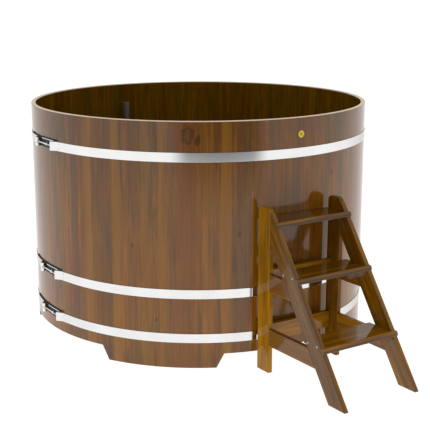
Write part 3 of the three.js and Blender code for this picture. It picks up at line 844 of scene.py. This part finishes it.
feed(shader, {"Base Color": rings, "Roughness": badge["roughness"], "Normal": speckle})
bm = spinProfile(badge["profile"], Vector(), closed=False)
lay(bm, Matrix.Translation(badgeAt) @ Matrix.Rotation(quarter, 4, "X"))
settle(bm, "badge_disc", "tub", yellowEnamel, "badge_yellow", crease=badge["crease"])
print("drain, pipe and badge built")

# ladder, drawn in side view: reach from the tub's axis and height
ladder = {
    "offset": -0.021, "width": 0.370, "board": 0.020, "seam": 0.0003, "spread": 0.464,
    "legBack": 0.750, "legWidth": 0.075, "legHeight": 0.672, "legRound": 0.020,
    "footWidth": 0.092, "tip": 0.6624, "tipRound": 0.006, "tipShare": 0.25, "roundSteps": 8,
    "treadThick": 0.020, "tops": {"lower": 0.205, "middle": 0.430, "upper": 0.622},
    "overhang": {"lower": 0.0175, "middle": 0.015, "upper": 0.0184},
    "depths": {"lower": 0.140, "middle": 0.129}, "upperBack": 0.752,
    "rails": {"lower": 0.070, "middle": 0.075}, "crossInset": 0.047,
    "edgeRound": 0.0022, "edgeSteps": 3, "treadEar": 0.032,
    "noseRound": 0.011, "noseFoot": 0.0028, "footShare": 0.6, "footSteps": 3, "noseDark": 0.006,
    # share of a tread's thickness, shade: its nosing is pale above, dark below, pale at the foot,
    #     # as painted highlights and shade
    "noseLightShade": ((0.0, 0.95), (0.14, 0.85), (0.25, 0.25), (0.45, 0.3), (0.62, 1.1), (0.85, 1.35),
                 (1.0, 1.1)),
    # tone and shade of each kind of board
    "looks": {"leg_left": (0.9, 1.2), "leg_right": (0.55, 0.9), "stringer_left": (0.5, 0.95),
              "stringer_right": (0.55, 0.95), "rail": (0.6, 1.0), "cross": (0.75, 1.1),
              "tread_lower": (0.6, 1.1), "tread_middle": (0.5, 0.8), "tread_upper": (0.45, 0.66)},
    # painted highlight on the stringers' front edges: its gain, and how far forward a face must
    # look
    "paleEdge": 1.35, "frontLightFacing": 0.85, "seedStep": 1.37,
    "seeds": {"leg": 3, "stringer": 7, "rail": 11, "tread": 21, "cross": 31},
}
legFront = ladder["legBack"] + ladder["legWidth"]
lean = (ladder["spread"] - ladder["seam"]) / ladder["tip"]
leanSeam = ladder["seam"] * math.sqrt(1 + lean ** 2)  # a seam along the slope, measured level
ladderX = tubAxis.x + ladder["offset"]
outerX, innerX = ladder["width"] / 2, ladder["width"] / 2 - ladder["board"]
between = innerX - ladder["seam"]


def stringerFront(height):
    return legFront + ladder["spread"] - lean * height


def underTread(level):
    return ladder["tops"][level] - ladder["treadThick"] - ladder["seam"]


def sidePoint(reach, height, x):
    return Vector((ladderX + x, tubAxis.y - reach, height))


def isAt(vert, points, reach):  # whether a vertex lies at one of these side-view points
    return any(abs(tubAxis.y - vert.co.y - r) < reach and abs(vert.co.z - z) < reach
               for r, z in points)


def growFace(bm, face, x):
    grown = bmesh.ops.extrude_face_region(bm, geom=[face])["geom"]
    move(bm, (x, 0, 0), vertsOf(grown))


def sideBoard(outline, left, right):
    bm = bmesh.new()
    face = bm.faces.new([bm.verts.new(sidePoint(r, z, left)) for r, z in outline])
    growFace(bm, face, right - left)
    faceOut(bm)
    return bm


def roundCorners(bm, points, radius, steps):  # edges across the board at these side-view points
    found = []
    for edge in bm.edges:
        a, b = edge.verts
        if abs(a.co.y - b.co.y) < weld and abs(a.co.z - b.co.z) < weld and isAt(a, points, near):
            found.append(edge)
    bevelEdges(bm, found, radius, steps)


# painted highlights and shade on a tread's nosing, set as each vertex's shade by its height
def paintNoseLight(bm, nose, low):
    board = bm.verts.layers.float_vector["board"]
    noseShades = ladder["noseLightShade"]
    for v in bm.verts:
        if nose - (tubAxis.y - v.co.y) < ladder["noseRound"]:
            rise = (v.co.z - low) / ladder["treadThick"]
            above = next(i for i, (part, shade) in enumerate(noseShades) if part >= rise - weld)
            (fromPart, fromShade), (toPart, toShade) = noseShades[max(above - 1, 0)], noseShades[above]
            share = (rise - fromPart) / (toPart - fromPart) if above else 0
            v[board] = (v[board].x, v[board].y, fromShade + (toShade - fromShade) * share)


def paintFrontLight(bm, facing):  # painted highlight: a stringer's front edge, paler than its sides
    board = bm.verts.layers.float_vector["board"]
    bm.normal_update()
    for v in bm.verts:
        if v.normal.dot(facing) > ladder["frontLightFacing"]:
            v[board] = (v[board].x, v[board].y, v[board].z * ladder["paleEdge"])


def ladderPiece(title, bm, along, look, number, nose=None, facing=None):
    softenEdges(bm, ladder["edgeRound"], ladder["edgeSteps"], ladder["treadEar"] if nose else 0.0)
    along = Vector(along).normalized()
    thick = upward if along.x else Vector((1, 0, 0))
    across = along.cross(thick)
    kind = look.split("_")[0]
    seed = (ladder["seeds"][kind] + number) * ladder["seedStep"]
    markBoard(bm, lambda co: (co.dot(across), co.dot(thick), co.dot(along)),
              (seed, *ladder["looks"][look]))
    if nose:
        paintNoseLight(bm, *nose)
    if facing:
        paintFrontLight(bm, facing.normalized())
    settle(bm, title, "ladder", legWood if kind == "leg" else ladderWood, "ladder_wood")


def buildSide(side, number, left, right):
    back, top = ladder["legBack"], ladder["legHeight"]
    corners = [(back, 0), (legFront, 0), (legFront, top), (back, top)]
    bm = sideBoard(corners, left, right)
    roundCorners(bm, corners[2:], ladder["legRound"], ladder["roundSteps"])
    ladderPiece("ladder_leg_" + side, bm, (0, 0, 1), "leg_" + side, number)

    butt = legFront + ladder["seam"]
    tipTop = ladder["tip"] - ladder["tipRound"]
    tipFront = tipTop - ladder["tipRound"]
    outline = [(stringerFront(0), 0), (stringerFront(tipFront), tipFront),
               (stringerFront(tipTop) - ladder["tipRound"] * ladder["tipShare"], tipTop),
               (butt, tipTop), (butt, ladder["tip"] - ladder["footWidth"] / lean),
               (stringerFront(0) - ladder["footWidth"], 0)]
    bm = sideBoard(outline, left, right)
    ladderPiece("ladder_stringer_" + side, bm, (0, lean, 1), "stringer_" + side, number,
                facing=Vector((0, -1, lean)))

    for level, deep in ladder["rails"].items():
        high = underTread(level)
        low = high - deep
        ends = [(stringerFront(z) - ladder["footWidth"] - leanSeam, z) for z in (low, high)]
        bm = sideBoard([(butt, low), *ends, (butt, high)], left, right)
        ladderPiece(f"ladder_rail_{level}_{side}", bm, (0, 1, 0), "rail", number + len(level))


def buildTread(level, top, number):
    low = top - ladder["treadThick"]
    nose = stringerFront(top) + ladder["overhang"][level]
    ears = [(stringerFront(z) + leanSeam, z) for z in (low, top)]
    back = nose - ladder["depths"][level] if level in ladder["depths"] else ladder["upperBack"]
    outline = [(back, low), ears[0], (nose, low), (nose, low + ladder["noseDark"]), (nose, top),
               ears[1], (back, top)]
    bm = sideBoard(outline, -between, between)

    def flank(side):
        return [f for f in bm.faces
                if abs(f.calc_center_median().x - ladderX - side * between) < weld]

    for side in (-1, 1):  # the nosing runs on across the stringer's front
        ends = [v for f in flank(side) for v in f.verts if isAt(v, ears, weld)]
        bmesh.ops.connect_verts(bm, verts=ends)
        front = min(flank(side), key=lambda f: f.calc_center_median().y)
        growFace(bm, front, side * (outerX - between))
        bmesh.ops.delete(bm, geom=[front], context="FACES_ONLY")
    faceOut(bm)
    roundCorners(bm, [(nose, top)], ladder["noseRound"], ladder["roundSteps"])
    foot = min(ladder["noseFoot"], (nose - ears[0][0]) * ladder["footShare"])
    roundCorners(bm, [(nose, low)], foot, ladder["footSteps"])
    ladderPiece("ladder_tread_" + level, bm, (1, 0, 0), "tread_" + level, number, (nose, low))


buildSide("left", 0, -outerX, -innerX)
buildSide("right", 1, innerX, outerX)
for number, (level, deep) in enumerate(ladder["rails"].items()):  # cross rails between the legs
    high = underTread(level)
    front = legFront - ladder["crossInset"]
    back = front - ladder["board"]
    outline = [(back, high - deep), (front, high - deep), (front, high), (back, high)]
    bm = sideBoard(outline, -between, between)
    ladderPiece("ladder_cross_rail_" + level, bm, (1, 0, 0), "cross", number)
for number, (level, top) in enumerate(ladder["tops"].items()):
    buildTread(level, top, number)
print("ladder built")

# domed screws that hold the treads, on the stringers' outer faces
screw = {"radius": 0.0042, "dome": 0.0016, "slot": 0.0009, "slotLength": 0.0056, "slotTurn": 0.4,
         "slotRise": 1.1, "crease": 35,
         "spots": ((1.069, 0.205), (1.124, 0.205), (0.914, 0.428), (0.969, 0.429))}


def screwHead():
    head = bmesh.new()
    bmesh.ops.create_uvsphere(head, radius=screw["radius"], **domeSteps)
    bmesh.ops.bisect_plane(head, geom=wholeOf(head), plane_co=(0, 0, 0), plane_no=upward,
                           clear_inner=True)
    bmesh.ops.holes_fill(head, edges=head.edges[:])
    bmesh.ops.scale(head, vec=(1, 1, screw["dome"] / screw["radius"]), verts=head.verts)
    for turn in (0, quarter):
        slot = block((screw["slotLength"], screw["slot"], screw["dome"]))
        turnAbout(slot, "Z", turn + screw["slotTurn"])
        move(slot, upward * screw["dome"] * screw["slotRise"])
        head = cutAway(head, slot)
    return head


for side, sign in (("left", -1), ("right", 1)):
    bm = bmesh.new()
    for reach, height in screw["spots"]:
        head = screwHead()
        lay(head, Matrix.Translation(sidePoint(reach, height, sign * outerX))
            @ Matrix.Rotation(sign * quarter, 4, "Y"))
        join(bm, head)
    settle(bm, "ladder_screws_" + side, "ladder", boltSteel, "bolt_steel", crease=screw["crease"])
print("screws built")

# stage: pale floor, soft light, camera
stage = {
    "floorSize": 120, "floorColour": (0.22, 0.22, 0.22, 1), "floorGlow": 0.97,
    # between two limits, from one value to another: the floor's light with distance, more of it
    # beside the camera's line but not at its near end, and the sky's light with height
    "fade": (0.9, 3.2, 1.2, 0.18), "sides": (0.45, 0.9, 0, 1.4), "farEnd": (0.4, -0.1, 0, 1),
    "sky": (0.15, 0.45, 0.9, 0.62),
    # a darker part of the studio, seen only in reflections, towards the front
    "gloomTurn": -19.5, "gloom": (0.62, 0.34, 0, 0.93), "gloomReach": (2.8, 6.3, 0, 1),
    "gloomLeast": 0.001,
}
view = {"lens": 85.812, "sensor": 36, "farthest": 400, "place": (-2.4902, -3.6208, 1.5524),
        "turn": (76.681, 0.0, -33.619)}


def headingParts(tree, way, turn):  # how far a direction goes along a heading, and to its side
    ahead = vectorCalc(tree, "DOT_PRODUCT", way, (math.sin(turn), -math.cos(turn), 0))
    aside = vectorCalc(tree, "DOT_PRODUCT", way, (math.cos(turn), math.sin(turn), 0))
    return ahead, calc(tree, "ABSOLUTE", aside)


def gloomShare(tree, way):
    ahead, aside = headingParts(tree, way, math.radians(stage["gloomTurn"]))
    ratio = calc(tree, "DIVIDE", aside, calc(tree, "MAXIMUM", ahead, stage["gloomLeast"]))
    return ahead, remap(tree, ratio, *stage["gloom"], True)


bm = bmesh.new()
bmesh.ops.create_grid(bm, x_segments=1, y_segments=1, size=stage["floorSize"])
floor = toObject("studioFloor", bm)
floorPaint, tree = newMaterial("floorPaint")[:2]
tree.nodes.clear()
floor.data.materials.append(floorPaint)
place = vectorCalc(tree, "SUBTRACT", objectPlace(tree), tuple(tubAxis))
path = addNode(tree, "LightPath").outputs
ahead, gloom = gloomShare(tree, place)
reach = remap(tree, ahead, *stage["gloomReach"], True)
gloom = product(tree, gloom, reach, path["Is Glossy Ray"])
glow = product(tree, calc(tree, "SUBTRACT", 1.0, gloom), stage["floorGlow"])
way = vectorCalc(tree, "NORMALIZE", place)
ahead, aside = headingParts(tree, way, math.radians(view["turn"][2]))
flank = product(tree, remap(tree, aside, *stage["sides"], True),
                remap(tree, ahead, *stage["farEnd"], True))
given = product(tree, remap(tree, vectorCalc(tree, "LENGTH", place), *stage["fade"], True),
                calc(tree, "ADD", 1.0, flank))
seen = calc(tree, "MAXIMUM", path["Is Glossy Ray"], path["Is Camera Ray"])
lit = product(tree, calc(tree, "SUBTRACT", 1.0, seen), calc(tree, "SUBTRACT", given, 1.0))
strength = product(tree, glow, calc(tree, "ADD", 1.0, lit))
shine = feed(addNode(tree, "Emission"), {"Strength": strength})[0]
chalk = feed(addNode(tree, "BsdfDiffuse"), {"Color": stage["floorColour"]})[0]
both = feed(addNode(tree, "AddShader"), {0: shine, 1: chalk})[0]
feed(addNode(tree, "OutputMaterial"), {"Surface": both})

sky = bpy.data.worlds.new("studioLight")
scene.world = sky
sky.use_nodes = True
tree = sky.node_tree
way = addNode(tree, "TexCoord").outputs["Generated"]
path = addNode(tree, "LightPath").outputs
level = remap(tree, partsOf(tree, way)[2], *stage["sky"], True)
gloom = product(tree, gloomShare(tree, way)[1], path["Is Glossy Ray"])
level = product(tree, level, calc(tree, "SUBTRACT", 1.0, gloom))
level = calc(tree, "MAXIMUM", level, path["Is Camera Ray"])
feed(tree.nodes["Background"], {"Color": (1, 1, 1, 1), "Strength": level})

lens = bpy.data.cameras.new("studioCamera")
lens.lens = view["lens"]
lens.sensor_width = view["sensor"]
lens.clip_end = view["farthest"]
camera = bpy.data.objects.new("studioCamera", lens)
camera.location = view["place"]
camera.rotation_euler = [math.radians(a) for a in view["turn"]]
scene.collection.objects.link(camera)
scene.camera = camera
print("stage ready")
